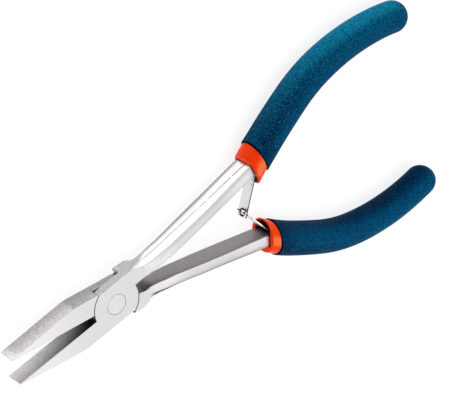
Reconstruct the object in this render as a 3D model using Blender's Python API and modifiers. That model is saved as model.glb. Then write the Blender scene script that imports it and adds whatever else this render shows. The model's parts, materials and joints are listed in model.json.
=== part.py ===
"""Flat nose pliers with long slim shanks, a riveted lap joint and sleeved handles.

The two arms are one forging, and arm B's is turned over about the X axis.
Everything is drawn once, for arm A, in millimetres in the plane of the pliers: X
runs from the pivot towards the handles, +Y is the side of arm A's handle and Z is
the thickness, from the middle.  Each object is then placed at the pivot, and arm
B's pieces are turned 180 degrees about X.  The origin is on the pivot axis, in the
joint's back face.
"""

import math

import bmesh
import bpy
from mathutils import Matrix, Vector

MM = 0.001
OBJECT_NAME = "flat_nose_pliers"

# Joint and jaws, in millimetres and degrees.
PLATE_HALF = 3.4         # half thickness of the jaws and of the lap joint
LAP_GAP = 0.15           # each lap stops this far from the middle plane
BOSS_RADIUS = 9.25       # round shoulder that the other arm turns against
BOSS_CLEARANCE = 0.35
SHOULDER_X = 5.7         # where the handle's full thickness starts on its outer side
JAW_TIP_X = -43.0
JAW_ANGLE = 6.04         # of each gripping face to the X axis, jaws open
JAW_OFFSET = 0.41        # of the gripping face from the pivot axis
TIP_THICKNESS = 0.55
JAW_BEND = Vector((-16.0, -9.03))    # where the straight runs of the jaw's outer side meet
JAW_BEND_REACH = 2.2     # how far from there the rounding starts
JAW_HEEL = Vector((5.6, -6.8))
# The root of the handle, between the boss's two arcs.
HANDLE_ROOT = ((11.8, 2.6), (17.4, 3.1), (12.2, 7.75), (10.6, 8.35), (8.2, 8.45), (4.9, 8.3))
# The two forgings are ground unequally: shifts along Y of the root and of the shank.
ROOT_SHIFT = {"a": 0.4, "b": -0.4}
SHANK_SHIFT = {"a": 0.15, "b": -0.65}

# Pivot rivet, countersunk from both faces.
RIVET_HEAD_RADIUS = 3.75
RIVET_SHANK_RADIUS = 2.5
RIVET_HEAD_DEPTH = 0.6
RIVET_CONE_DEPTH = 1.25
RIVET_CLEARANCE = 0.1
RIVET_STEPS = 48

# Shanks and the tangs that carry on inside the sleeves.
SHANK_ANGLE = 12.85      # of each shank to the X axis, jaws open
SHANK_OFFSET = -1.86     # height of the shank's inner edge line at the pivot
SHANK_WIDTHS = ((25, 4.7), (46, 4.75), (60, 5.25))      # in the pliers' plane, along Y
SHANK_HALVES = ((21, 3.85), (38, 4.3), (48, 4.3), (60, 4.1))   # half thickness
SHANK_STATIONS = (25, 31, 38, 45, 52, 58, 63.5)
SHANK_CORNER = 0.9
RIDGE = 0.2              # height of the outer side's ridge, the forging's parting line
RIDGE_Z = 0.7            # the ridge lies off the middle plane
# Where the shank swells out of the joint: x, inner y, outer y, half thickness, corner,
# ridge, and which shift it takes.
SHANK_ROOT = ((10.0, 2.6, 8.1, 3.1, 0.3, 0.0, ROOT_SHIFT), (12.2, 2.55, 7.5, 3.15, 0.4, 0.0, ROOT_SHIFT),
              (14.5, 2.5, 7.1, 3.4, 0.6, 0.05, SHANK_SHIFT), (17.5, 2.7, 7.35, 3.6, 0.75, 0.1, SHANK_SHIFT),
              (21.0, 3.3, 7.95, 3.85, 0.85, 0.15, SHANK_SHIFT))
# The tang: distance along the sleeve, offset from its middle, half width, half thickness
# and how much of the shank's shift it takes.
TANG_FRONT = ((0.2, 1.15, 2.6, 3.95, 0.75), (1.6, 0.8, 2.5, 3.8, 0.5), (4, -0.25, 2.15, 3.2, 0),
              (7, -0.3, 2.0, 3.0, 0), (10.5, -0.15, 1.9, 2.8, 0))
SEAT_ROWS = slice(2, 4)  # the tang's rows that the spring's seat lies between
TANG_REAR = ((64, 0, 1.8, 2.6, 0), (71, 0, 1.7, 2.4, 0), (77, 0, 1.5, 2.0, 0))
TANG_CORNER = 1.1

# Handle sleeves: a centreline that starts at the sleeve's mouth.
MOUTH = Vector((66.4, 14.6))
SLEEVE_HEADINGS = ((0, 41), (14, 33), (30, 29), (46, 13), (62, 1.5), (76, -8), (90, -18))
SLEEVE_LENGTH = 88.4
MOUTH_SQUARE = 5.0       # up to here the sections stay square to the shank
MOUTH_BLEND = 12.0       # length over which they then turn square to the centreline
SLEEVE_SHIFT = {"a": -0.5, "b": 0.15}   # how far the sleeves sit off the centreline
SHIFT_BLEND = 12.0       # length from the mouth over which that comes in
LINER_MOUTH_RADIUS = 5.95
LINER_MOUTH_BORE = 5.3
COLLAR_LENGTH = {"a": 5.2, "b": 4.3}   # what shows in front of the outer sleeve
LINER_NECK = 14.0        # up to here the sleeves are wide enough for the spring's rivet
LINER_NECK_RADIUS = 5.45
LINER_NECK_BORE = 4.8
LINER_RADIUS = 5.3
LINER_BORE = 4.2
LINER_END = 81.0
SLEEVE_RADII = ((5, 6.45), (18, 6.42), (50, 6.28), (80, 6.0))
SLEEVE_NECK_BORE = 5.75
SLEEVE_BORE = 5.6
SLEEVE_LIP_GAP = 0.3
SLEEVE_END_GAP = 0.6
SLEEVE_STEPS = 24
WALL = 1.2

# Leaf springs and the rivets that hold them.
LEAF_WIDTH = 4.6
LEAF_THICKNESS = 0.45
LEAF_MEETING = Vector((60.4, -0.4))   # where the two blades cross
LEAF_MOUTH_OFFSET = -3.4
SPRING_RIVET_RADIUS = 0.7
SPRING_RIVET_HEAD = 1.25
SPRING_RIVET_DEPTH = 1.7   # how far it goes into the tang
SPRING_RIVET_STEPS = 16
SEAT_GAP = 0.3
# What is cut from each blade: start and end from the meeting point, then low and high z.
LEAF_SLOT = ((-0.85, 0.85, -1.15, 1.15),)
LEAF_TONGUE = ((-0.9, 1.05, 0.8, 4), (-0.9, 1.05, -4, -0.8), (1.05, 4, 1.6, 4), (1.05, 4, -4, -1.6))
LEAF_REACH = {"a": 1.7, "b": 2.0}    # how far each blade goes on past the meeting point

STEEL = ("steel", (0.62, 0.61, 0.62), 0.32, 1.0)
SPRING_STEEL = ("spring_steel", (0.6, 0.6, 0.6), 0.25, 1.0)
ORANGE = ("orange_vinyl", (0.9, 0.09, 0.01), 0.3, 0.0)
BLUE = ("blue_foam", (0.0, 0.045, 0.13), 0.6, 0.0)


# ---------------------------------------------------------------- scene set-up

def clear_scene():
    for old in list(bpy.data.objects):
        bpy.data.objects.remove(old, do_unlink=True)


def new_collection(name):
    collection = bpy.data.collections.new(name)
    bpy.context.scene.collection.children.link(collection)
    return collection


clear_scene()
PARTS = new_collection(OBJECT_NAME)
CUTTERS = new_collection("cutters")


def material(settings):
    name, colour, roughness, metallic = settings
    found = bpy.data.materials.get(name)
    if found:
        return found
    made = bpy.data.materials.new(name)
    made.use_nodes = True
    shader = made.node_tree.nodes["Principled BSDF"]
    shader.inputs["Base Color"].default_value = (*colour, 1.0)
    shader.inputs["Roughness"].default_value = roughness
    shader.inputs["Metallic"].default_value = metallic
    made.diffuse_color = (*colour, 1.0)
    return made


def add_object(name, mesh, collection):
    thing = bpy.data.objects.new(name, mesh)
    collection.objects.link(thing)
    return thing


def combine(thing, name, mesh, side, operation="DIFFERENCE"):
    """Cuts or joins a mesh through a Boolean modifier; its object stays as a guide."""
    guide = at_pivot(add_object(name + "_" + side, mesh, CUTTERS), side)
    guide.hide_render = True
    guide.display_type = "WIRE"
    step = thing.modifiers.new(name, "BOOLEAN")
    step.operation = operation
    step.solver = "EXACT"
    step.object = guide


def shade(mesh, angle=35):
    mesh.shade_smooth()
    mesh.set_sharp_from_angle(angle=math.radians(angle))


def at_pivot(thing, side):
    """Puts one arm's piece or cutter at the pivot, turned over for arm B."""
    thing.location = (0, 0, PLATE_HALF * MM)
    thing.rotation_euler = (0 if side == "a" else math.pi, 0, 0)
    return thing


def finish(thing, side, settings):
    at_pivot(thing, side)
    thing.data.materials.append(material(settings))
    shade(thing.data)


# -------------------------------------------------------------- plane geometry

def heading(degrees):
    return Vector((math.cos(math.radians(degrees)), math.sin(math.radians(degrees))))


def left_of(direction):
    return Vector((-direction.y, direction.x))


def arc(centre, radius, start, end, steps):
    """Points on a circle from one angle to another, in degrees."""
    span = end - start
    return [centre + radius * heading(start + span * i / steps) for i in range(steps + 1)]


def smooth_through(points, steps):
    """A smooth open line through a few points."""
    points = [Vector(p) for p in points]
    ends = [2 * points[0] - points[1]] + points + [2 * points[-1] - points[-2]]
    line = []
    for a, b, c, d in zip(ends, ends[1:], ends[2:], ends[3:]):
        for i in range(steps):
            t = i / steps
            line.append(0.5 * (2 * b + (c - a) * t + (2 * a - 5 * b + 4 * c - d) * t * t
                               + (3 * b - a - 3 * c + d) * t ** 3))
    return line + [points[-1]]


def rounded(before, corner, after, reach, steps):
    """A corner's rounding, between points at reach from it on both sides."""
    start = corner + (before - corner).normalized() * reach
    end = corner + (after - corner).normalized() * reach
    line = []
    for i in range(steps + 1):
        t = i / steps
        line.append(start * (1 - t) ** 2 + corner * 2 * t * (1 - t) + end * t * t)
    return line


def table_value(table, s):
    """Straight-line reading of a table of (place, value) pairs."""
    for (s0, v0), (s1, v1) in zip(table, table[1:]):
        if s <= s1:
            return v0 + (v1 - v0) * max(0.0, s - s0) / (s1 - s0)
    return table[-1][1]


def ease(t):
    t = min(1.0, max(0.0, t))
    return t * t * (3 - 2 * t)


def sleeve_heading(s):
    return table_value(SLEEVE_HEADINGS, s)


def sleeve_centre(s, step=0.5):
    """Walks along the sleeve's headings from the mouth."""
    point = MOUTH.copy()
    count = max(1, math.ceil(abs(s) / step))
    for i in range(count):
        point += heading(sleeve_heading(s * (i + 0.5) / count)) * s / count
    return point


def section_heading(s):
    """The mouth is cut square to the shank, and the sections turn into the sleeve."""
    turned_share = ease((s - MOUTH_SQUARE) / MOUTH_BLEND)
    return SHANK_ANGLE + (sleeve_heading(s) - SHANK_ANGLE) * turned_share


def sleeve_point(s, n, stretch=True):
    """A point at n millimetres to the left of the sleeve's centreline."""
    tilt = math.radians(sleeve_heading(s) - section_heading(s))
    scale = 1 / math.cos(tilt) if stretch else 1.0
    return sleeve_centre(s) + left_of(heading(section_heading(s))) * n * scale


def shank_inner(x):
    return SHANK_OFFSET + x * math.tan(math.radians(SHANK_ANGLE))


# ------------------------------------------------------------- making solids

def plate(name, outline, low, high):
    """A flat outline with thickness, made as a filled 2D curve and turned into a mesh."""
    curve = bpy.data.curves.new(name + "_outline", "CURVE")
    curve.dimensions = "2D"
    curve.fill_mode = "BOTH"
    curve.extrude = (high - low) / 2 * MM
    spline = curve.splines.new("POLY")
    spline.points.add(len(outline) - 1)
    for slot, point in zip(spline.points, outline):
        slot.co = (point.x * MM, point.y * MM, 0, 1)
    spline.use_cyclic_u = True
    guide = add_object(name + "_outline", curve, CUTTERS)
    bpy.context.view_layer.update()
    evaluated = guide.evaluated_get(bpy.context.evaluated_depsgraph_get())
    mesh = bpy.data.meshes.new_from_object(evaluated)
    bpy.data.objects.remove(guide, do_unlink=True)
    mesh.name = name
    shape = bmesh.new()
    shape.from_mesh(mesh)
    bmesh.ops.remove_doubles(shape, verts=shape.verts, dist=0.0000005)
    bmesh.ops.translate(shape, verts=shape.verts, vec=(0, 0, (low + high) / 2 * MM))
    bmesh.ops.recalc_face_normals(shape, faces=shape.faces)
    shape.to_mesh(mesh)
    shape.free()
    return mesh


def loft(name, rings):
    """Skins a row of closed rings, which all have the same number of points."""
    shape = bmesh.new()
    rows = [[shape.verts.new(Vector(p) * MM) for p in ring] for ring in rings]
    for low, high in zip(rows, rows[1:]):
        for i in range(len(low)):
            j = (i + 1) % len(low)
            shape.faces.new((low[i], low[j], high[j], high[i]))
    shape.faces.new(list(reversed(rows[0])))
    shape.faces.new(rows[-1])
    bmesh.ops.recalc_face_normals(shape, faces=shape.faces)
    mesh = bpy.data.meshes.new(name)
    shape.to_mesh(mesh)
    shape.free()
    return mesh


def turned(name, profile, segments):
    """Turns a profile of (radius, height) about Z; the profile runs down its outer side."""
    mesh = bpy.data.meshes.new(name + "_profile")
    points = [(r * MM, 0, z * MM) for r, z in profile]
    mesh.from_pydata(points, [(i, i + 1) for i in range(len(points) - 1)], [])
    guide = add_object(name + "_profile", mesh, CUTTERS)
    screw = guide.modifiers.new("turn", "SCREW")
    screw.axis = "Z"
    screw.steps = segments
    screw.render_steps = segments
    screw.use_merge_vertices = True
    screw.merge_threshold = 0.000005
    bpy.context.view_layer.update()
    evaluated = guide.evaluated_get(bpy.context.evaluated_depsgraph_get())
    solid = bpy.data.meshes.new_from_object(evaluated)
    bpy.data.objects.remove(guide, do_unlink=True)
    solid.name = name
    return solid


def along_sleeve(mesh, side):
    """Bends a solid turned about Z onto the sleeve's centreline."""
    for vertex in mesh.vertices:
        n, depth, s = vertex.co / MM
        point = sleeve_point(s, n + SLEEVE_SHIFT[side] * ease(s / SHIFT_BLEND))
        vertex.co = Vector((point.x, point.y, depth)) * MM


def shank_section(width, half, corner, ridge):
    """A rounded rectangle with a low ridge along its outer side."""
    ring = [(width + ridge, RIDGE_Z)]
    corners = ((width, half, 0), (-width, half, 90), (-width, -half, 180), (width, -half, 270))
    for n, z, start in corners:
        centre = Vector((n - math.copysign(corner, n), z - math.copysign(corner, z)))
        if start == 180:
            ring.append((-width, 0.0))
        ring += [tuple(p) for p in arc(centre, corner, start, start + 90, 3)]
    return ring


# ------------------------------------------------------------------- the arms

def gripping_y(x):
    return -(JAW_OFFSET - x * math.tan(math.radians(JAW_ANGLE)))


def arm_outline(side):
    """Jaw, boss and handle root of one arm, counter-clockwise from the jaw's tip."""
    shift = Vector((0, ROOT_SHIFT[side]))
    centre = Vector((0, 0))
    tip_inner = Vector((JAW_TIP_X, gripping_y(JAW_TIP_X)))
    tip_outer = tip_inner - Vector((0, TIP_THICKNESS))
    jaw_side = rounded(tip_outer, JAW_BEND, JAW_HEEL, JAW_BEND_REACH, 5) + [JAW_HEEL]
    boss_right = arc(centre, BOSS_RADIUS, -48, 13 + 8 * shift.y, 10)
    root = [Vector(point) + shift for point in HANDLE_ROOT]
    boss_left = arc(centre, BOSS_RADIUS, 127, 189, 10)
    throat_x = boss_left[-1].x - 0.1
    throat = Vector((throat_x, gripping_y(throat_x)))
    return [tip_outer] + jaw_side + boss_right + root + boss_left + [throat, tip_inner]


def lap_recess_outline():
    """What the other arm's boss needs: its circle, squared off at both outer shoulders."""
    centre = Vector((0, 0))
    radius = BOSS_RADIUS + BOSS_CLEARANCE
    outside = radius + 2.4
    right = arc(centre, radius, -90, 50, 20)
    left = arc(centre, radius, 130, 232, 16)
    step = Vector((SHOULDER_X, right[-1].y + 0.3))
    top = [step, Vector((SHOULDER_X, outside)), Vector((-7, outside))]
    bottom = [Vector((-7, -outside)), Vector((0, -outside))]
    return right + top + left + bottom


def rivet_profile(grow):
    """Half section of the countersunk rivet; grow makes the hole that it sits in."""
    half = PLATE_HALF
    over = 1.0 if grow else 0.0
    head = half - RIVET_HEAD_DEPTH
    neck = head - RIVET_CONE_DEPTH
    upper = [(0.0, half + over), (RIVET_HEAD_RADIUS + grow, half + over),
             (RIVET_HEAD_RADIUS + grow, head), (RIVET_SHANK_RADIUS + grow, neck)]
    return upper + [(r, -z) for r, z in reversed(upper)]


def shank_rings(side):
    """Sections of the shank and of the tang that carries on inside the sleeve."""
    rows = []
    for x, low, high, half, corner, ridge, shifts in SHANK_ROOT:
        rows.append((x, low + shifts[side], high + shifts[side], half, corner, ridge))
    for x in SHANK_STATIONS:
        low = shank_inner(x) + SHANK_SHIFT[side]
        high = low + table_value(SHANK_WIDTHS, x)
        rows.append((x, low, high, table_value(SHANK_HALVES, x), SHANK_CORNER, RIDGE))
    rings = []
    for x, low, high, half, corner, ridge in rows:
        middle = (low + high) / 2
        ring = shank_section((high - low) / 2, half, corner, ridge)
        rings.append([(x, middle + n, z) for n, z in ring])
    even = [(s, *TANG_FRONT[-1][1:]) for s in range(15, 60, 7)]
    for s, offset, width, half, share in [*TANG_FRONT, *even, *TANG_REAR]:
        ring = shank_section(width, half, TANG_CORNER, 0.0)
        shift = offset + SHANK_SHIFT[side] * share
        points = [(sleeve_point(s, n + shift, stretch=False), z) for n, z in ring]
        rings.append([(p.x, p.y, z) for p, z in points])
    return rings


def spring_rivet_frame():
    """Where the spring's rivet stands on the tang's inner face, and that face's directions."""
    front, back = (sleeve_point(s, offset - width, stretch=False)
                   for s, offset, width, _, _ in TANG_FRONT[SEAT_ROWS])
    along = (back - front).normalized()
    return (front + back) / 2, along, -left_of(along)


def make_arm(side):
    blank = plate("arm_" + side, arm_outline(side), -PLATE_HALF, PLATE_HALF)
    recess = plate("lap_recess_" + side, lap_recess_outline(), -PLATE_HALF - 1, LAP_GAP)
    shank = loft("shank_" + side, shank_rings(side))
    hole = turned("rivet_hole_" + side, rivet_profile(RIVET_CLEARANCE), RIVET_STEPS)
    socket = spring_rivet_mesh("spring_socket_" + side, 0.12)
    arm = add_object("arm_" + side, blank, PARTS)
    combine(arm, "lap_recess", recess, side)
    combine(arm, "shank", shank, side, "UNION")
    combine(arm, "rivet_hole", hole, side)
    combine(arm, "spring_socket", socket, side)
    finish(arm, side, STEEL)


def make_pivot_rivet():
    mesh = turned("pivot_rivet", rivet_profile(0), RIVET_STEPS)
    finish(add_object("pivot_rivet", mesh, PARTS), "a", STEEL)


# ---------------------------------------------------------------- the sleeves

def stations(start, end, count):
    return [start + (end - start) * i / count for i in range(count + 1)]


def make_liner(side):
    """The inner sleeve: a collar at the mouth, then a thinner tube under the outer one."""
    collar_end = COLLAR_LENGTH[side]
    rim = LINER_MOUTH_RADIUS
    shut = LINER_END - WALL
    outside = [(0.0, LINER_END), (LINER_RADIUS - 1.5, LINER_END - 0.4)]
    outside += [(LINER_RADIUS, LINER_END - 2)]
    outside += [(LINER_RADIUS, s) for s in reversed(stations(LINER_NECK + 2, LINER_END - 8, 13))]
    outside += [(LINER_NECK_RADIUS, s) for s in (LINER_NECK, 10.5, 7.5, collar_end + 0.3)]
    collar = [(rim - 0.15, collar_end), (rim, collar_end - 0.4), (rim, 2.2), (rim, 0.5),
              (rim - 0.15, 0.15), (rim - 0.45, 0.0)]
    inside = [(LINER_MOUTH_BORE, 0.2), (LINER_MOUTH_BORE, 2.5)]
    inside += [(LINER_NECK_BORE, s) for s in (4.0, 7.5, LINER_NECK - 2.5)]
    inside += [(LINER_BORE, LINER_NECK)]
    inside += [(LINER_BORE, s) for s in stations(19, shut - 1, 11)]
    inside += [(0.0, shut - 0.8)]
    mesh = turned("grip_liner_" + side, outside + collar + inside, SLEEVE_STEPS)
    along_sleeve(mesh, side)
    finish(add_object("grip_liner_" + side, mesh, PARTS), side, ORANGE)


def make_sleeve(side):
    """The outer sleeve, with a rounded closed end."""
    start = COLLAR_LENGTH[side] + SLEEVE_LIP_GAP
    shut = LINER_END + SLEEVE_END_GAP
    front_radius = SLEEVE_RADII[0][1]
    end_radius = SLEEVE_RADII[-1][1]
    dome = arc(Vector((0, SLEEVE_LENGTH - end_radius)), end_radius, 90, 0, 6)
    outside = [(max(0.0, p.x), p.y) for p in dome]
    outside += [(table_value(SLEEVE_RADII, s), s)
                for s in reversed(stations(start + 0.7, SLEEVE_LENGTH - 9.0, 18))]
    lip = [(front_radius - 0.1, start + 0.2), (front_radius - 0.3, start)]
    inside = [(SLEEVE_NECK_BORE, s) for s in (start + 0.05, 8, 11.5, LINER_NECK + 1.2)]
    inside += [(SLEEVE_BORE, s) for s in stations(LINER_NECK + 3, LINER_END, 13)]
    inside += [(SLEEVE_BORE - 1, shut), (0.0, shut)]
    mesh = turned("grip_sleeve_" + side, outside + lip + inside, SLEEVE_STEPS)
    along_sleeve(mesh, side)
    finish(add_object("grip_sleeve_" + side, mesh, PARTS), side, BLUE)


# ----------------------------------------------------------- the leaf springs

def leaf_line(side):
    """Middle line of a spring blade, from its riveted root to past the meeting point."""
    seat, along, inward = spring_rivet_frame()
    first = seat + inward * (SEAT_GAP + LEAF_THICKNESS / 2)
    bend = sleeve_point(0, LEAF_MOUTH_OFFSET, stretch=False)
    meeting = LEAF_MEETING.copy()
    if side == "b":
        meeting.y = -meeting.y
    blade = (meeting - bend).normalized()
    points = [first + along * 1.6, first, first - along * 1.7, bend, bend + blade * 2.5]
    return smooth_through(points, 4) + [meeting, meeting + blade * LEAF_REACH[side]]


def strip_outline(line, thickness):
    """The strip seen edge-on: its middle line offset to both sides."""
    left = []
    right = []
    for i, point in enumerate(line):
        before = line[max(0, i - 1)]
        after = line[min(len(line) - 1, i + 1)]
        side = left_of((after - before).normalized()) * thickness / 2
        left.append(point + side)
        right.append(point - side)
    return left + list(reversed(right))


def box_mesh(name, centre, along, length, depth_low, depth_high, thickness):
    """A box that lies along a direction in the plane of the pliers."""
    shape = bmesh.new()
    bmesh.ops.create_cube(shape, size=1.0)
    across = left_of(along)
    depth = depth_high - depth_low
    turn = Matrix(((along.x, across.x, 0, 0), (along.y, across.y, 0, 0), (0, 0, 1, 0), (0, 0, 0, 1)))
    size = Matrix.Diagonal((length * MM, thickness * MM, depth * MM, 1))
    middle = Vector((centre.x, centre.y, (depth_low + depth_high) / 2)) * MM
    shape.transform(Matrix.Translation(middle) @ turn @ size)
    mesh = bpy.data.meshes.new(name)
    shape.to_mesh(mesh)
    shape.free()
    return mesh


def make_leaf(side, cuts):
    """A spring blade; cuts are (start, end, low, high) boxes past the meeting point."""
    name = "leaf_spring_" + side
    line = leaf_line(side)
    half = LEAF_WIDTH / 2
    leaf = add_object(name, plate(name, strip_outline(line, LEAF_THICKNESS), -half, half), PARTS)
    meeting = line[-2]
    blade = (line[-1] - meeting).normalized()
    for number, (start, end, low, high) in enumerate(cuts, 1):
        label = "leaf_cut_" + str(number)
        centre = meeting + blade * (start + end) / 2
        combine(leaf, label, box_mesh(label, centre, blade, end - start, low, high, 2.0), side)
    combine(leaf, "leaf_hole", spring_rivet_mesh("leaf_hole_" + side, 0.15), side)
    finish(leaf, side, SPRING_STEEL)


def spring_rivet_mesh(name, grow=0.0):
    """The small rivet through the blade, or with grow the hole that it sits in."""
    face = SEAT_GAP + LEAF_THICKNESS + SEAT_GAP
    radius = SPRING_RIVET_RADIUS + grow
    foot = -SPRING_RIVET_DEPTH - grow
    if grow:
        head = [(0.0, face + 1), (radius, face + 1)]
    else:
        head = [(0.0, face + 0.6), (SPRING_RIVET_HEAD * 0.6, face + 0.5),
                (SPRING_RIVET_HEAD, face + 0.15), (SPRING_RIVET_HEAD, face), (radius, face)]
    mesh = turned(name, head + [(radius, foot), (0.0, foot)], SPRING_RIVET_STEPS)
    seat, _, inward = spring_rivet_frame()
    across = left_of(inward)
    turn = Matrix(((0, -across.x, inward.x, seat.x * MM), (0, -across.y, inward.y, seat.y * MM),
                   (1, 0, 0, 0), (0, 0, 0, 1)))
    mesh.transform(turn)
    return mesh


def make_spring_rivet(side):
    mesh = spring_rivet_mesh("spring_rivet_" + side)
    finish(add_object("spring_rivet_" + side, mesh, PARTS), side, STEEL)


# --------------------------------------------------------------------- build

for arm_side, leaf_cuts in (("a", LEAF_SLOT), ("b", LEAF_TONGUE)):
    make_arm(arm_side)
    make_liner(arm_side)
    make_sleeve(arm_side)
    make_spring_rivet(arm_side)
    make_leaf(arm_side, leaf_cuts)
make_pivot_rivet()
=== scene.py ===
"""Looks of the flat nose pliers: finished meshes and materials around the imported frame.

The steel pieces are the frame's own shapes with welded, rounded edges.  The handle
sleeves are made again at full smoothness on the frame's centreline.  Lengths are in
metres, and MM turns millimetres into them.
"""

import json
import math

import bmesh
import bpy
from mathutils import Matrix, Vector
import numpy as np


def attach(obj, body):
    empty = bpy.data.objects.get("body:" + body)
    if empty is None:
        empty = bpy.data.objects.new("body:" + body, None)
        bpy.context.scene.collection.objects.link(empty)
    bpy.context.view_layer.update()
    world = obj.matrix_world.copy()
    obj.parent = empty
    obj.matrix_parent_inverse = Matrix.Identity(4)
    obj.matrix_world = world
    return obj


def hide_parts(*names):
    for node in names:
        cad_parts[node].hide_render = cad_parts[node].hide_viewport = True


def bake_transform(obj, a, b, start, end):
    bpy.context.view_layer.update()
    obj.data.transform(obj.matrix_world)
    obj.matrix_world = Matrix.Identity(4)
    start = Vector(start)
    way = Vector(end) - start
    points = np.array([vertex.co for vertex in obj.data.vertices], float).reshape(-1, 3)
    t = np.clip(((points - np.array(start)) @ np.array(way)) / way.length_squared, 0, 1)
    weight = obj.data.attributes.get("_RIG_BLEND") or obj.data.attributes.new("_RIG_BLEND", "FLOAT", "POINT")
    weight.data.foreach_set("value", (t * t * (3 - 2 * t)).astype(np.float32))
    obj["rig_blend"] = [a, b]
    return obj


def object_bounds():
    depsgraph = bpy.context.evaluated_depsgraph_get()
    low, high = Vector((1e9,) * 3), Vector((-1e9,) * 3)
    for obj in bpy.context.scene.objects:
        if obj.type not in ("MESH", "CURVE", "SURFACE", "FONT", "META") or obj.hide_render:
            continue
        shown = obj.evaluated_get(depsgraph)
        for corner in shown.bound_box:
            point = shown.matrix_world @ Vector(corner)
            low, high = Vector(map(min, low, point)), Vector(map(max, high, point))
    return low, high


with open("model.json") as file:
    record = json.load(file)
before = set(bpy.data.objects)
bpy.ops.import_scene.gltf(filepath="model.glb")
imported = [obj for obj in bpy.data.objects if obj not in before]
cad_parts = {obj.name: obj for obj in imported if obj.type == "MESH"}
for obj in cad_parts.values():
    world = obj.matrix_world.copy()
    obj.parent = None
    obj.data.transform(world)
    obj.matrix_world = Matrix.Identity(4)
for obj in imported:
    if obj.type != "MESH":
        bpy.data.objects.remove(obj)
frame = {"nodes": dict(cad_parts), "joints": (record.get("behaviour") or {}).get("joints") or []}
CAD_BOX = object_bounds()

MM = 0.001
MID_Z = Vector(frame["joints"][0]["pos_m"]).z      # the middle plane of the pliers
LEAF_HINGE = Vector(frame["joints"][1]["pos_m"])

# From here on, places and sizes are in millimetres and angles in degrees.
BLADES_MEET = Vector((60.4, -0.4, 3.4))   # where the spring blades cross
SHANK_ANGLE = 12.85                # of each shank to the X axis
SHANK_OUTER = 2.86                 # height of the shank's outer edge line at the pivot
SHANK_SHIFT = {"a": 0.15, "b": -0.65}     # how far each shank sits off that line
SHANK_WIDENS = (46, 0.036)         # where the shank starts to widen, and how fast

# The handle sleeves' centreline: its start, and headings along it.
SLEEVE_MOUTH = Vector((66.4, 14.6))
SLEEVE_HEADINGS = ((0, 41), (14, 33), (30, 29), (46, 13), (62, 1.5), (76, -8), (90, -18))
SLEEVE_LENGTH = 88.4
SLEEVE_RADII = ((5, 6.447), (18, 6.417), (50, 6.277), (80, 5.997))
MOUTH_SQUARE = 5.0                 # up to here the sections stay square to the shank
MOUTH_BLEND = 12.0                 # length over which they then turn square to the sleeve
SLEEVE_SHIFT = {"a": -0.5, "b": 0.15}     # how far the sleeves sit off the centreline
SHIFT_BLEND = 12.0                 # length over which that shift grows
CENTRELINE_STEP = 0.25
ROUND_STEPS = 96

# The collars at the sleeves' mouths, and what the outer sleeves hide.
COLLAR_LENGTH = {"a": 5.2, "b": 4.3}
COLLAR_RADIUS = 5.95
COLLAR_BACK_EDGE = 0.35
MOUTH_BORE = 5.31
MOUTH_GAP = 0.12                   # between the shank and the collar's hollow
MOUTH_HALF = 3.95                  # half thickness of the shank in the mouth
SHANK_IN_MOUTH = {"a": 3.42, "b": 2.88}   # the shank's outer side there, as a section radius
HIDDEN_END = 24.0                  # how far into the sleeve the hidden walls go
HIDDEN_RADIUS = 5.3
HIDDEN_BORE = 4.75
GRIP_BORE = 5.42
GRIP_START = 0.35                  # the outer sleeve starts this far behind the collar
GRIP_LIP = 0.3

# Rounding of the steel pieces' edges, and the loops that let the spring blades bend.
ARM_EDGE = 0.14
BLADE_EDGE = 0.08
BLADE_RIVET_EDGE = 0.06
JOINT_RIVET_EDGE = 0.08
RIVET_EDGE_LIMIT = 40
LOOPS = range(-8, 16)
LOOP_SPACING = 0.6


# ------------------------------------------------------------------ small tools

def table_value(table, s):
    """Straight-line reading of a table of (place, value) pairs."""
    for (s0, v0), (s1, v1) in zip(table, table[1:]):
        if s <= s1:
            return v0 + (v1 - v0) * max(0.0, s - s0) / (s1 - s0)
    return table[-1][1]


def heading(degrees):
    angle = math.radians(degrees)
    return Vector((math.cos(angle), math.sin(angle)))


def left_of(direction):
    return Vector((-direction.y, direction.x))


def ease(t):
    t = min(1.0, max(0.0, t))
    return t * t * (3 - 2 * t)


def spread(start, end, count):
    return [start + (end - start) * i / count for i in range(count + 1)]


def sleeve_heading(s):
    return table_value(SLEEVE_HEADINGS, s)


def sleeve_point(s, n):
    """A point n millimetres to the left of the sleeve's centreline, s along it."""
    point = SLEEVE_MOUTH.copy()
    count = max(1, math.ceil(abs(s) / CENTRELINE_STEP))
    for i in range(count):
        point += heading(sleeve_heading(s * (i + 0.5) / count)) * s / count
    turned_share = ease((s - MOUTH_SQUARE) / MOUTH_BLEND)
    section = SHANK_ANGLE + (sleeve_heading(s) - SHANK_ANGLE) * turned_share
    tilt = math.radians(sleeve_heading(s) - section)
    return point + left_of(heading(section)) * n / math.cos(tilt)


def new_object(name, mesh, material):
    """An object in the scene, with one material."""
    mesh.name = name
    mesh.materials.clear()
    mesh.materials.append(material)
    thing = bpy.data.objects.new(name, mesh)
    bpy.context.scene.collection.objects.link(thing)
    return thing


def apply_modifiers(thing):
    """Makes the object's mesh what its modifiers make of it."""
    bpy.context.view_layer.update()
    evaluated = thing.evaluated_get(bpy.context.evaluated_depsgraph_get())
    mesh = bpy.data.meshes.new_from_object(evaluated)
    thing.modifiers.clear()
    thing.data = mesh


# ------------------------------------------------------------- node materials

def node(tree, kind, inputs=(), out=0, **settings):
    """Adds a shader node; inputs are (socket, value or another node's output) pairs."""
    made = tree.nodes.new("ShaderNode" + kind)
    for key, value in settings.items():
        setattr(made, key, value)
    for key, value in inputs:
        if isinstance(value, bpy.types.NodeSocket):
            tree.links.new(value, made.inputs[key])
        else:
            made.inputs[key].default_value = value
    return made.outputs[out]


def calc(tree, operation, a, b=0.0):
    return node(tree, "Math", ((0, a), (1, b)), operation=operation)


def add(tree, a, b):
    return calc(tree, "ADD", a, b)


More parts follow.
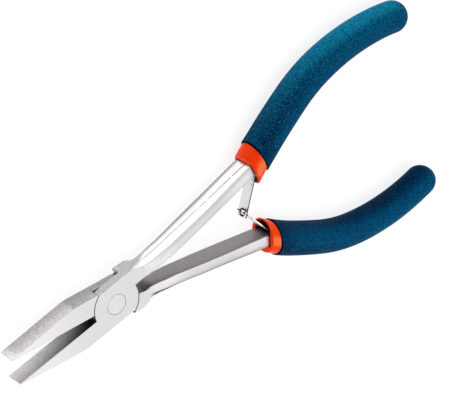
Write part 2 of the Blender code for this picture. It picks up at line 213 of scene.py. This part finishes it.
def times(tree, a, b):
    return calc(tree, "MULTIPLY", a, b)


def rise(tree, value, low, high):
    """0 below low, 1 above high, smooth between; low may be the larger."""
    inputs = (("Value", value), ("From Min", low), ("From Max", high))
    return node(tree, "MapRange", inputs, interpolation_type="SMOOTHSTEP")


def rise_mm(tree, value, low, high):
    """The same, with both ends given in millimetres."""
    return rise(tree, value, low * MM, high * MM)


def ramp_mm(tree, value, low, high):
    """The same, but with a straight rise."""
    inputs = (("Value", value), ("From Min", low * MM), ("From Max", high * MM))
    return node(tree, "MapRange", inputs)


def noise(tree, where, scale, detail=3.0, roughness=0.55):
    inputs = (("Vector", where), ("Scale", scale), ("Detail", detail), ("Roughness", roughness))
    return node(tree, "TexNoise", inputs)


def stretched(tree, where, scales, turn=0.0):
    """Coordinates scaled unequally, after a turn in degrees about Z."""
    inputs = (("Vector", where), ("Rotation", (0, 0, math.radians(turn))), ("Scale", scales))
    return node(tree, "Mapping", inputs)


def mix(tree, share, a, b):
    return node(tree, "Mix", (("Factor", share), (6, a), (7, b)), out=2, data_type="RGBA")


def mix_value(tree, share, a, b):
    return node(tree, "Mix", (("Factor", share), (2, a), (3, b)), data_type="FLOAT")


def scaled(tree, colour, factors):
    """A colour multiplied by a fixed one."""
    inputs = (("Factor", 1.0), (6, colour), (7, factors))
    return node(tree, "Mix", inputs, out=2, data_type="RGBA", blend_type="MULTIPLY")


def grey(value):
    return (value, value, value, 1.0)


def start_material(name):
    material = bpy.data.materials.new(name)
    material.use_nodes = True
    tree = material.node_tree
    return material, tree, tree.nodes["Principled BSDF"]


def wire(tree, source, shader, socket):
    """Links a node's output to a socket of the material's shader."""
    tree.links.new(source, shader.inputs[socket])


def bump(tree, height, strength, depth):
    """A normal for a relief, depth millimetres deep."""
    inputs = (("Height", height), ("Strength", strength), ("Distance", depth * MM))
    return node(tree, "Bump", inputs)


def separate(tree, vector):
    """The node that splits a vector; its outputs are x, y and z."""
    return node(tree, "SeparateXYZ", ((0, vector),)).node


def position(tree):
    """The place on the object at rest, in metres."""
    return node(tree, "TexCoord", out=3)


def surface_direction(tree):
    """The surface's direction on the object at rest, split into x, y and z."""
    return separate(tree, node(tree, "TexCoord", out=1))


def in_the_open(tree, reach, low, high):
    """0 in narrow gaps and hollows, 1 where little stands within reach of the surface: a mask for painted
    shade.
    """
    share = node(tree, "AmbientOcclusion", (("Distance", reach * MM),), out=1, samples=8)
    return rise(tree, share, low, high)


# Steel greys, as linear reflectance.  A pair is mixed from its first to its second value.
FACE_TONES = (0.615, 0.69)         # flat faces: at the joint, at the jaws' tips
REAR_FACET_TONES = (0.35, 0.44)    # jaw's outer side near the joint: low, high
FRONT_FACET_TONES = (0.45, 0.66)   # jaw's outer side beyond its bend: low, high
PALE_TIP = 0.22                    # how much paler it is at the very tip
GRIP_TONES = (0.5, 0.01)           # gripping face, in painted shade in the throat: at the tip, in the throat
GRIP_DEPTH_TONES = (1.3, 0.9)      # painted shade factor on that: low, high
BOSS_TONES = (0.38, 0.48)          # boss beside the other jaw: low, high
SHOULDER_TONE = 0.54               # boss and shoulder on the arm's own outer side
BAND_TONES = (0.66, 0.57)          # shank's flat faces: near the joint, further back
BAND_EDGE = 0.84                   # painted shade: factor on that next to the outer side
BAND_CROWN = (1.05, 1.18)          # painted light: factor on that further in: in front, at the sleeve
POLISHED = 0.97                    # shank's outer side
BACK_SHADE_TONE = 0.42                       # painted shade where the outer side turns down at its back
INNER_TONES = (0.13, 0.3)          # shank's forged inner side, darkened with painted shade, most in the crook: in the crook, beyond it
EDGE_SHADE = {"a": 0.2, "b": 0.9}  # how strongly painted shade darkens the back corner of each shank
LINE_STRENGTH = (0.68, 0.95)       # the parting line: in front, at the sleeve
STEEL_TINT = (1.0, 0.985, 0.99)
SIDE_TINT = (1.0, 0.965, 0.995)
FORGED_TINT = (1.0, 0.92, 0.985)
NO_TINT = (1.0, 1.0, 1.0)

# Places along X where the arms' finish changes.
JAW_BEND = (-15.2, -17.2)
BOSS_FRONT = (-9.6, -9)
SHANK_START = (13, 16)


def sheet_grain(tree, where):
    """Two sizes of even grain, 0 to 1, as left by a belt grinder and a tumbler."""
    coarse = rise(tree, noise(tree, where, 1300.0, 2.0, 0.6), 0.27, 0.73)
    fine = rise(tree, noise(tree, where, 3000.0, 1.0, 0.5), 0.25, 0.75)
    return add(tree, times(tree, coarse, 0.6), times(tree, fine, 0.4))


def mottled(tree, tone, grain, depth, tint):
    """A tone, a number or a node's output, that the grain makes lighter and darker."""
    swing = add(tree, times(tree, grain, 2 * depth), 1 - depth)
    level = times(tree, swing, tone)
    channels = tuple((i, times(tree, level, tint[i])) for i in range(3))
    return node(tree, "CombineXYZ", channels)


def flat_faces(tree, x, grain):
    """The ground flat faces, a little brighter towards the jaws' tips."""
    tone = mix_value(tree, rise_mm(tree, x, -10, -34), *FACE_TONES)
    return mottled(tree, tone, grain, 0.08, STEEL_TINT)


def jaw_sides(tree, x, z, outward, grain):
    """The jaw's outer and gripping sides, and the boss behind them."""
    # Painted shading makes the outer side's front facet lighter than its rear one; each facet is lighter
    # towards the top, and the tip is pale.
    front_facet = rise_mm(tree, x, *JAW_BEND)
    low = mix_value(tree, front_facet, REAR_FACET_TONES[0], FRONT_FACET_TONES[0])
    high = mix_value(tree, front_facet, REAR_FACET_TONES[1], FRONT_FACET_TONES[1])
    outer = mix_value(tree, rise_mm(tree, z, -3.2, 3.4), low, high)
    outer = add(tree, outer, times(tree, rise_mm(tree, x, -38.5, -42.5), PALE_TIP))

    # Painted shade: the gripping face darkens into the throat, where the other jaw closes over it, and it is
    # darker towards its top.
    into_throat = calc(tree, "POWER", ramp_mm(tree, x, -40, -11.5), 1.5)
    depth = mix_value(tree, rise_mm(tree, z, -3.4, 3.4), *GRIP_DEPTH_TONES)
    grip = times(tree, mix_value(tree, into_throat, *GRIP_TONES), depth)
    wall = mix_value(tree, rise(tree, outward, -0.3, 0.3), outer, grip)

    boss = mix_value(tree, rise_mm(tree, z, -1.5, 2.5), *BOSS_TONES)
    boss = mix_value(tree, rise(tree, outward, 0.0, 0.4), boss, SHOULDER_TONE)
    tone = mix_value(tree, rise_mm(tree, x, *BOSS_FRONT), wall, boss)
    return mottled(tree, tone, grain, 0.3, SIDE_TINT)


def shank_edge(tree, place, side):
    """How far a point lies past the shank's outer side in the pliers' plane, below 0 inside."""
    sign = 1.0 if side == "a" else -1.0
    x, y = place.outputs[0], place.outputs[1]
    widens_at, widening = SHANK_WIDENS
    slope = math.tan(math.radians(SHANK_ANGLE))
    outer = add(tree, times(tree, x, slope), (SHANK_OUTER + SHANK_SHIFT[side]) * MM)
    beyond = calc(tree, "MAXIMUM", calc(tree, "SUBTRACT", x, widens_at * MM), 0.0)
    outer = add(tree, outer, times(tree, beyond, widening))
    return calc(tree, "SUBTRACT", times(tree, y, sign), outer)


def shank_sides(tree, x, own_z, outward, edge, grain, drawn, side):
    """The shank: bright outer side, grey flat faces, forged inner side, with painted light and shade on them
    and a back corner darkened by painted shade.
    """
    tone = mix_value(tree, rise_mm(tree, x, 20, 32), *BAND_TONES)
    # Painted light and shade across the flat faces: darker next to the outer side, lighter further in.
    crown = mix_value(tree, rise_mm(tree, x, 48, 60), *BAND_CROWN)
    across = mix_value(tree, rise_mm(tree, edge, -0.7, -2.3), BAND_EDGE, crown)
    across = mix_value(tree, rise_mm(tree, x, 16, 24), 1.0, across)
    band = mottled(tree, times(tree, tone, across), grain, 0.09, STEEL_TINT)

    # Painted shade where the outer side turns down at its back, standing in for the dark reflection of what
    # lies beneath.
    shaded_back = rise_mm(tree, own_z, -1.5, -3.2)
    streaks = rise(tree, drawn, 0.25, 0.75)
    outer = mottled(tree, mix_value(tree, shaded_back, POLISHED, BACK_SHADE_TONE), streaks, 0.03, NO_TINT)
    # The forged inner side, darkened with painted shade, most of all in the crook.
    inner_tone = mix_value(tree, rise_mm(tree, x, 13.5, 17), *INNER_TONES)
    inner = mottled(tree, inner_tone, grain, 0.2, FORGED_TINT)

    colour = mix(tree, rise(tree, outward, 0.3, 0.75), band, outer)
    colour = mix(tree, rise(tree, outward, -0.5, -0.8), colour, inner)
    # Painted shade along the back corner, a dark line under the shank's outline.
    dark_corner = times(tree, rise_mm(tree, edge, -0.9, -0.45), shaded_back)
    return mix(tree, times(tree, dark_corner, EDGE_SHADE[side]), colour, grey(0.07))


def parting_line(tree, where, x, own_z, outward):
    """The forging's parting line: a thin broken line that drifts off the middle."""
    drift = calc(tree, "MAXIMUM", calc(tree, "SUBTRACT", x, 28 * MM), 0.0)
    middle = add(tree, times(tree, drift, 0.042), -0.05 * MM)
    off_line = calc(tree, "ABSOLUTE", calc(tree, "SUBTRACT", own_z, middle))
    line = times(tree, rise_mm(tree, off_line, 0.28, 0.06), rise(tree, outward, 0.6, 0.85))
    broken = rise(tree, noise(tree, where, 420.0, 2.0), 0.3, 0.46)
    line = times(tree, times(tree, line, broken), rise_mm(tree, x, 14, 17))
    return times(tree, line, mix_value(tree, rise_mm(tree, x, 48, 62), *LINE_STRENGTH))


def arm_steel(side):
    """One arm's steel: flat ground faces, grainy ground jaw sides, polished outer shank."""
    sign = 1.0 if side == "a" else -1.0
    material, tree, shader = start_material("arm_steel_" + side)
    where = position(tree)
    place = separate(tree, where)
    facing = surface_direction(tree)
    x = place.outputs[0]
    z = calc(tree, "SUBTRACT", place.outputs[2], MID_Z)
    own_z = times(tree, z, sign)
    outward = times(tree, facing.outputs[1], sign)
    flat = rise(tree, calc(tree, "ABSOLUTE", facing.outputs[2]), 0.75, 0.93)
    grain = sheet_grain(tree, where)
    along_shank = stretched(tree, where, (160.0, 2400.0, 2400.0), -SHANK_ANGLE * sign)
    drawn = noise(tree, along_shank, 1.0, 2.0)

    # The shank's finish starts on a slant on its outer side, and earlier on its inner side.
    slant = times(tree, times(tree, own_z, 1.5), rise(tree, outward, 0.2, 0.5))
    early = times(tree, rise(tree, outward, -0.2, -0.6), 5 * MM)
    on_shank = rise_mm(tree, add(tree, add(tree, x, slant), early), *SHANK_START)

    jaw_side = jaw_sides(tree, x, z, outward, grain)
    jaw = mix(tree, flat, jaw_side, flat_faces(tree, x, grain))
    edge = shank_edge(tree, place, side)
    shank = shank_sides(tree, x, own_z, outward, edge, grain, drawn, side)
    colour = mix(tree, on_shank, jaw, shank)
    colour = mix(tree, parting_line(tree, where, x, own_z, outward), colour, grey(0.05))
    cloud = rise(tree, noise(tree, where, 90.0, 3.0, 0.5), 0.6, 0.85)
    colour = mix(tree, times(tree, cloud, 0.1), colour, grey(0.35))
    # Painted shade in narrow gaps and hollows: the jaws' throat, the gaps round the boss, the collar's
    # mouth.
    colour = mix(tree, in_the_open(tree, 1.6, 0.35, 0.85), grey(0.015), colour)
    wire(tree, colour, shader, "Base Color")

    shiny = times(tree, rise(tree, outward, 0.25, 0.7), on_shank)
    uneven = times(tree, calc(tree, "SUBTRACT", grain, 0.5), 0.12)
    wire(tree, add(tree, mix_value(tree, shiny, 0.46, 0.24), uneven), shader, "Roughness")
    shader.inputs["Metallic"].default_value = 1.0
    wire(tree, bump(tree, mix_value(tree, shiny, grain, drawn), 0.35, 0.02), shader, "Normal")
    return material


def plain_steel(name, tone, roughness, scales=(2600.0, 2600.0, 2600.0)):
    """Steel of one finish with a fine grain, for the rivets and the spring blades."""
    material, tree, shader = start_material(name)
    where = position(tree)
    grain = noise(tree, stretched(tree, where, scales), 1.0, 2.0, 0.6)
    cloud = rise(tree, noise(tree, where, 160.0, 2.0), 0.5, 0.8)
    colour = mix(tree, rise(tree, grain, 0.3, 0.7), grey(tone * 0.9), grey(tone * 1.06))
    colour = mix(tree, times(tree, cloud, 0.15), colour, grey(tone * 0.6))
    wire(tree, colour, shader, "Base Color")
    wire(tree, add(tree, times(tree, grain, 0.2), roughness - 0.1), shader, "Roughness")
    shader.inputs["Metallic"].default_value = 1.0
    wire(tree, bump(tree, grain, 0.3, 0.015), shader, "Normal")
    return material


CROSSING_SHADE_REACH = {"a": 1.75, "b": 2.4}     # how far from the blades' crossing the painted shade goes


def blade_steel(side):
    """Spring steel, brushed along the blade, with painted shade where the two blades cross.

    Blade A's sheared edges are dark too.
    """
    material = plain_steel("spring_steel_" + side, 0.77, 0.34, (900.0, 2600.0, 2600.0))
    tree = material.node_tree
    shader = tree.nodes["Principled BSDF"]
    colour = shader.inputs["Base Color"].links[0].from_socket
    if side == "a":
        edge = calc(tree, "ABSOLUTE", surface_direction(tree).outputs[2])
        colour = mix(tree, rise(tree, edge, 0.5, 0.8), colour, grey(0.05))
    ends = ((0, position(tree)), (1, BLADES_MEET * MM))
    away = node(tree, "VectorMath", ends, out=1, operation="DISTANCE")
    reach = CROSSING_SHADE_REACH[side]
    # Painted shade where the two blades cross.
    colour = mix(tree, rise_mm(tree, away, reach, reach - 0.3), colour, grey(0.02))
    wire(tree, colour, shader, "Base Color")
    return material


ORANGE_DEEP = (0.95, 0.036, 0.001, 1)
ORANGE_LIGHT = (1.0, 0.068, 0.002, 1)
# A painted highlight:
ORANGE_HIGHLIGHT = (1.0, 0.3, 0.1, 1)
# Painted shade in the mouth's hollow:
ORANGE_HOLLOW_SHADE = (0.02, 0.001, 0.001, 1)


def orange_vinyl():
    """Dipped vinyl with soft waviness, a painted highlight in front and outside, and painted shade in the
    mouth.
    """
    material, tree, shader = start_material("orange_vinyl")
    where = position(tree)
    facing = surface_direction(tree)
    wave = noise(tree, where, 260.0, 2.0)
    fine = noise(tree, where, 1800.0, 3.0)
    colour = mix(tree, rise(tree, wave, 0.3, 0.7), ORANGE_DEEP, ORANGE_LIGHT)
    # A painted highlight where the surface faces front or outwards, broken up by the waviness.
    front = rise(tree, facing.outputs[2], 0.92, 1.0)
    outer = rise(tree, calc(tree, "ABSOLUTE", facing.outputs[1]), 0.86, 1.0)
    highlight = add(tree, times(tree, front, 0.5), times(tree, outer, 0.22))
    highlight = times(tree, highlight, rise(tree, wave, 0.25, 0.6))
    colour = mix(tree, highlight, colour, ORANGE_HIGHLIGHT)
    # Painted shade in the hollow of the mouth.
    colour = mix(tree, in_the_open(tree, 5.0, 0.15, 0.5), ORANGE_HOLLOW_SHADE, colour)
    wire(tree, colour, shader, "Base Color")
    wire(tree, add(tree, times(tree, fine, 0.16), 0.18), shader, "Roughness")
    shader.inputs["Specular IOR Level"].default_value = 0.07
    wire(tree, bump(tree, add(tree, wave, times(tree, fine, 0.08)), 0.25, 0.12), shader, "Normal")
    return material


# Blues of the outer sleeves, as linear colours: lit and shaded copies, for painted light on the outer side
# and painted shade on the inner side.  A pair is mixed along the sleeve.
BLUE_SIDE = ((0.0, 0.019, 0.066, 1), (0.0, 0.074, 0.165, 1))
BLUE_OUTER = ((0.001, 0.045, 0.11, 1), (0.003, 0.2, 0.36, 1))
BLUE_INNER = ((0.0, 0.028, 0.075, 1), (0.0, 0.062, 0.152, 1))
BLUE_INNERMOST = (0.0, 0.017, 0.056, 1)
BLUE_GLITTER = (0.03, 0.4, 0.66, 1)
# Painted shade for the front lip:
BLUE_LIP_SHADE = (0.0, 0.002, 0.008, 1)
BLUE_GRAIN = ((0.32, 0.32, 0.4, 1), (1.65, 1.65, 1.55, 1))     # factors: darkest, lightest


def blue_vinyl(side):
    """Soft blue vinyl, full of glittering specks, with painted light on its outer side and painted shade on
    its inner side, lighter towards its end.
    """
    sign = 1.0 if side == "a" else -1.0
    material, tree, shader = start_material("blue_vinyl_" + side)
    where = position(tree)
    facing = surface_direction(tree)
    x = separate(tree, where).outputs[0]
    outward = times(tree, facing.outputs[1], sign)
    cells = (("Vector", where), ("Scale", 1800.0), ("Randomness", 1.0))
    pimples = node(tree, "TexVoronoi", cells)
    grain = rise(tree, noise(tree, where, 1500.0, 3.0, 0.8), 0.34, 0.66)
    glint = rise(tree, noise(tree, where, 2600.0, 1.0), 0.62, 0.68)
    patch = noise(tree, where, 90.0, 3.0)

    # Painted light and shade, from the shaded inner side round to the lit outer side.
    backward = ramp_mm(tree, x, 71, 117)
    inner = mix(tree, rise_mm(tree, x, 70, 82), *BLUE_INNER)
    colour = mix(tree, rise(tree, outward, -1.05, -0.45), BLUE_INNERMOST, inner)
    side_blue = mix(tree, backward, *BLUE_SIDE)
    colour = mix(tree, rise(tree, outward, -0.05, 0.45), colour, side_blue)
    outer_blue = mix(tree, backward, *BLUE_OUTER)
    colour = mix(tree, rise(tree, outward, 0.55, 0.98), colour, outer_blue)

    dark, light = (scaled(tree, colour, factors) for factors in BLUE_GRAIN)
    speckle = add(tree, times(tree, grain, 0.8), times(tree, patch, 0.2))
    colour = mix(tree, speckle, dark, light)
    # Light specks of the vinyl, painted as glints, more of them on the lit outer side.
    sparkle = mix_value(tree, rise(tree, outward, -0.6, 0.8), 0.12, 0.5)
    colour = mix(tree, times(tree, glint, sparkle), colour, BLUE_GLITTER)
    # Painted shade on the cut front lip, where it faces the collar.
    lip = rise(tree, facing.outputs[0], -0.8, -0.93)
    wire(tree, mix(tree, lip, colour, BLUE_LIP_SHADE), shader, "Base Color")
    wire(tree, mix_value(tree, glint, 0.6, 0.35), shader, "Roughness")
    shader.inputs["Specular IOR Level"].default_value = 0.02
    wire(tree, bump(tree, add(tree, times(tree, pimples, -0.7), grain), 0.6, 0.1), shader, "Normal")
    return material


# --------------------------------------------------------------- steel pieces

def frame_mesh(name):
    """The frame's mesh of a node, welded, with its flat regions made single faces."""
    mesh = frame["nodes"][name].data.copy()
    shape = bmesh.new()
    shape.from_mesh(mesh)
    bmesh.ops.remove_doubles(shape, verts=shape.verts, dist=0.000002)
    bmesh.ops.dissolve_limit(shape, angle_limit=math.radians(0.4), verts=shape.verts,
                             edges=shape.edges, delimit=set())
    bmesh.ops.recalc_face_normals(shape, faces=shape.faces)
    shape.to_mesh(mesh)
    shape.free()
    for custom in [a.name for a in mesh.attributes if a.name in ("sharp_face", "custom_normal")]:
        mesh.attributes.remove(mesh.attributes[custom])
    return mesh


def steel_piece(name, node_name, material, body, width, limit=26):
    """A frame shape with its edges rounded, riding on its body if it has one.

    The rounding is width millimetres wide, on edges sharper than limit degrees.
    """
    piece = new_object(name, frame_mesh(node_name), material)
    edge = piece.modifiers.new("edges", "BEVEL")
    edge.width = width * MM
    edge.segments = 2
    edge.limit_method = "ANGLE"
    edge.angle_limit = math.radians(limit)
    piece.modifiers.new("even", "WEIGHTED_NORMAL")
    piece.data.shade_smooth()
    apply_modifiers(piece)
    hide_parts(node_name)
    if body:
        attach(piece, body)
    return piece


def leaf_piece(side):
    """A spring blade with enough loops to bend where it leaves the sleeve's mouth."""
    name = "spring_blade_" + side
    node_name = "leaf_spring_" + side
    piece = steel_piece(name, node_name, blade_steel(side), None, BLADE_EDGE)
    hinge = LEAF_HINGE.copy()
    tip = Vector((BLADES_MEET.x * MM, BLADES_MEET.y * MM, MID_Z))
    if side == "b":
        hinge.y = -hinge.y
        tip.y = -tip.y
    blade = (tip - hinge).normalized()
    shape = bmesh.new()
    shape.from_mesh(piece.data)
    for step in LOOPS:
        everything = shape.verts[:] + shape.edges[:] + shape.faces[:]
        cut_at = hinge + blade * step * LOOP_SPACING * MM
        bmesh.ops.bisect_plane(shape, geom=everything, plane_co=cut_at, plane_no=blade,
                               dist=0.0000005)
    shape.to_mesh(piece.data)
    shape.free()
    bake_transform(piece, "arm_" + side, "leaf_" + side, start=hinge - blade * 4 * MM,
             end=hinge + blade * 6 * MM)


# -------------------------------------------------------------------- sleeves

def swept(name, side, profile, material, closed):
    """A section swept along the sleeve's centreline; profile is (radius, s) pairs.

    A radius is a number, or a function that gives it from the angle round the section.
    """
    shape = bmesh.new()
    rows = []
    flip = 1.0 if side == "a" else -1.0
    for radius, s in profile:
        ring = []
        shift = SLEEVE_SHIFT[side] * ease(s / SHIFT_BLEND)
        for i in range(ROUND_STEPS):
            angle = 2 * math.pi * i / ROUND_STEPS
            reach = radius(angle) if callable(radius) else radius
            spot = sleeve_point(s, reach * math.cos(angle) + shift)
            height = MID_Z + reach * math.sin(angle) * flip * MM
            ring.append(shape.verts.new((spot.x * MM, spot.y * MM * flip, height)))
        rows.append(ring)
    pairs = list(zip(rows, rows[1:]))
    if closed:
        pairs.append((rows[-1], rows[0]))
    for low, high in pairs:
        for i in range(ROUND_STEPS):
            j = (i + 1) % ROUND_STEPS
            shape.faces.new((low[i], low[j], high[j], high[i]))
    if not closed:
        shape.faces.new(rows[0])
        shape.faces.new(rows[-1])
    bmesh.ops.recalc_face_normals(shape, faces=shape.faces)
    mesh = bpy.data.meshes.new(name)
    shape.to_mesh(mesh)
    shape.free()
    mesh.shade_smooth()
    mesh.set_sharp_from_angle(angle=math.radians(50))
    return new_object(name, mesh, material)


def round_edge(radius, s, size, start, end, steps):
    """An arc of a profile: centre (radius, s), from one angle to another in degrees."""
    angles = [math.radians(angle) for angle in spread(start, end, steps)]
    return [(radius + size * math.cos(angle), s + size * math.sin(angle)) for angle in angles]


def mouth_hollow(side, flare=0.0):
    """Radius of the collar's hollow: it hugs the shank but is open on its inner side."""
    outer = SHANK_IN_MOUTH[side]

    def radius(angle):
        across = abs(math.sin(angle))
        reach = (MOUTH_HALF + MOUTH_GAP) / max(across, 0.01)
        if math.cos(angle) > 0:
            reach = min(reach, (outer + MOUTH_GAP) / max(math.cos(angle), 0.01))
        return min(MOUTH_BORE, reach) + flare

    return radius


def make_collar(side):
    """The inner sleeve: what shows of it is a collar with a rolled rim."""
    length = COLLAR_LENGTH[side]
    rim = (COLLAR_RADIUS - MOUTH_BORE) / 2
    outside = [(HIDDEN_RADIUS, s) for s in spread(HIDDEN_END, length + 0.25, 12)]
    back = round_edge(COLLAR_RADIUS - COLLAR_BACK_EDGE, length - 0.15, COLLAR_BACK_EDGE, 90, 0, 5)
    body = [(COLLAR_RADIUS, s) for s in spread(length - 0.8, rim + 0.3, 6)]
    front = round_edge(COLLAR_RADIUS - rim, rim, rim, 0, -90, 7)
    front += [(mouth_hollow(side, 0.22), 0.0), (mouth_hollow(side, 0.07), 0.04)]
    inside = [(mouth_hollow(side), s) for s in (0.16, 0.5, 1.0, 1.6)]
    inside += [(HIDDEN_BORE, s) for s in spread(2.6, HIDDEN_END, 12)]
    profile = outside + back + body + front + inside
    piece = swept("grip_collar_" + side, side, profile, ORANGE, True)
    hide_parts("grip_liner_" + side)
    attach(piece, "arm_" + side)


def make_grip(side):
    """The outer sleeve, with a rounded closed end and a soft front lip."""
    start = COLLAR_LENGTH[side] + GRIP_START
    front = SLEEVE_RADII[0][1]
    end_radius = SLEEVE_RADII[-1][1]
    dome_start = SLEEVE_LENGTH - end_radius
    dome = round_edge(0.0, dome_start, end_radius, 89.5, 0, 20)
    wall = [(table_value(SLEEVE_RADII, s), s) for s in spread(dome_start - 0.5, start + 0.6, 90)]
    lip = round_edge(front - GRIP_LIP, start + GRIP_LIP, GRIP_LIP, 0, -90, 6)
    tongue = [(5.75, start + 0.02), (5.6, start - 0.25), (GRIP_BORE, start - 0.25)]
    inside = [(GRIP_BORE, s) for s in spread(start, HIDDEN_END, 12)]
    profile = dome + wall + lip + tongue + inside
    piece = swept("grip_sleeve_skin_" + side, side, profile, blue_vinyl(side), False)
    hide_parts("grip_sleeve_" + side)
    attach(piece, "arm_" + side)


# ------------------------------------------------------------------ the object

RIVET = plain_steel("rivet_steel", 0.62, 0.42)
ORANGE = orange_vinyl()

for arm_side in ("a", "b"):
    arm = steel_piece("steel_arm_" + arm_side, "arm_" + arm_side, arm_steel(arm_side),
                      "arm_" + arm_side, ARM_EDGE)
    pin = steel_piece("blade_rivet_" + arm_side, "spring_rivet_" + arm_side, RIVET,
                      "arm_" + arm_side, BLADE_RIVET_EDGE, RIVET_EDGE_LIMIT)
    leaf_piece(arm_side)
    make_collar(arm_side)
    make_grip(arm_side)
pivot_pin = steel_piece("joint_rivet", "pivot_rivet", RIVET, "arm_a", JOINT_RIVET_EDGE,
                        RIVET_EDGE_LIMIT)


# ----------------------------------------------------- floor, light and camera

def make_floor():
    """Pale paper that glows a little, so that it stays white round the object."""
    shape = bmesh.new()
    bmesh.ops.create_grid(shape, x_segments=8, y_segments=8, size=3.0)
    mesh = bpy.data.meshes.new("floor")
    shape.to_mesh(mesh)
    shape.free()
    material, tree, shader = start_material("floor_paper")
    fibre = noise(tree, position(tree), 300.0, 4.0)
    wire(tree, mix(tree, fibre, grey(0.24), grey(0.27)), shader, "Base Color")
    shader.inputs["Roughness"].default_value = 0.9
    shader.inputs["Emission Color"].default_value = (1.0, 1.0, 1.0, 1.0)
    shader.inputs["Emission Strength"].default_value = 0.82
    floor = new_object("floor", mesh, material)
    floor.location = (0, 0, CAD_BOX[0].z - 0.0002)


def area_light(name, direction, distance, size, power):
    """A square soft light that faces the middle of the object; lengths in metres."""
    data = bpy.data.lights.new(name, "AREA")
    data.shape = "SQUARE"
    data.size = size
    data.energy = power
    lamp = bpy.data.objects.new(name, data)
    middle = (CAD_BOX[0] + CAD_BOX[1]) / 2
    back = Vector(direction).normalized()
    lamp.location = middle + back * distance
    lamp.rotation_mode = "QUATERNION"
    lamp.rotation_quaternion = (-back).to_track_quat("-Z", "Y")
    bpy.context.scene.collection.objects.link(lamp)


def make_world():
    """An even white studio all round."""
    world = bpy.data.worlds.new("studio")
    bpy.context.scene.world = world
    world.use_nodes = True
    background = world.node_tree.nodes["Background"]
    background.inputs["Color"].default_value = (1.0, 1.0, 1.0, 1.0)
    background.inputs["Strength"].default_value = 0.62


def make_camera():
    """The view from above arm A's side, turned so that the handles point up and right."""
    azimuth = math.radians(217.614)
    elevation = math.radians(43.332)
    roll = math.radians(118.12)
    target = Vector((57.49 * MM, 6.18 * MM, MID_Z))
    distance = 716.2 * MM
    level = math.cos(elevation)
    back = Vector((math.sin(azimuth) * level, -math.cos(azimuth) * level, math.sin(elevation)))
    data = bpy.data.cameras.new("camera")
    data.sensor_width = 36.0
    data.lens = 157.74
    data.clip_start = 0.05
    data.clip_end = 20.0
    camera = bpy.data.objects.new("camera", data)
    upright = (-back).to_track_quat("-Z", "Y").to_matrix().to_4x4()
    place = Matrix.Translation(target + back * distance)
    camera.matrix_world = place @ upright @ Matrix.Rotation(roll, 4, "Z")
    bpy.context.scene.collection.objects.link(camera)
    bpy.context.scene.camera = camera


make_camera()
make_floor()
make_world()
area_light("key", direction=(0.15, -0.3, 1.0), distance=1.0, size=1.2, power=5.0)
bpy.context.scene.view_settings.view_transform = "Standard"
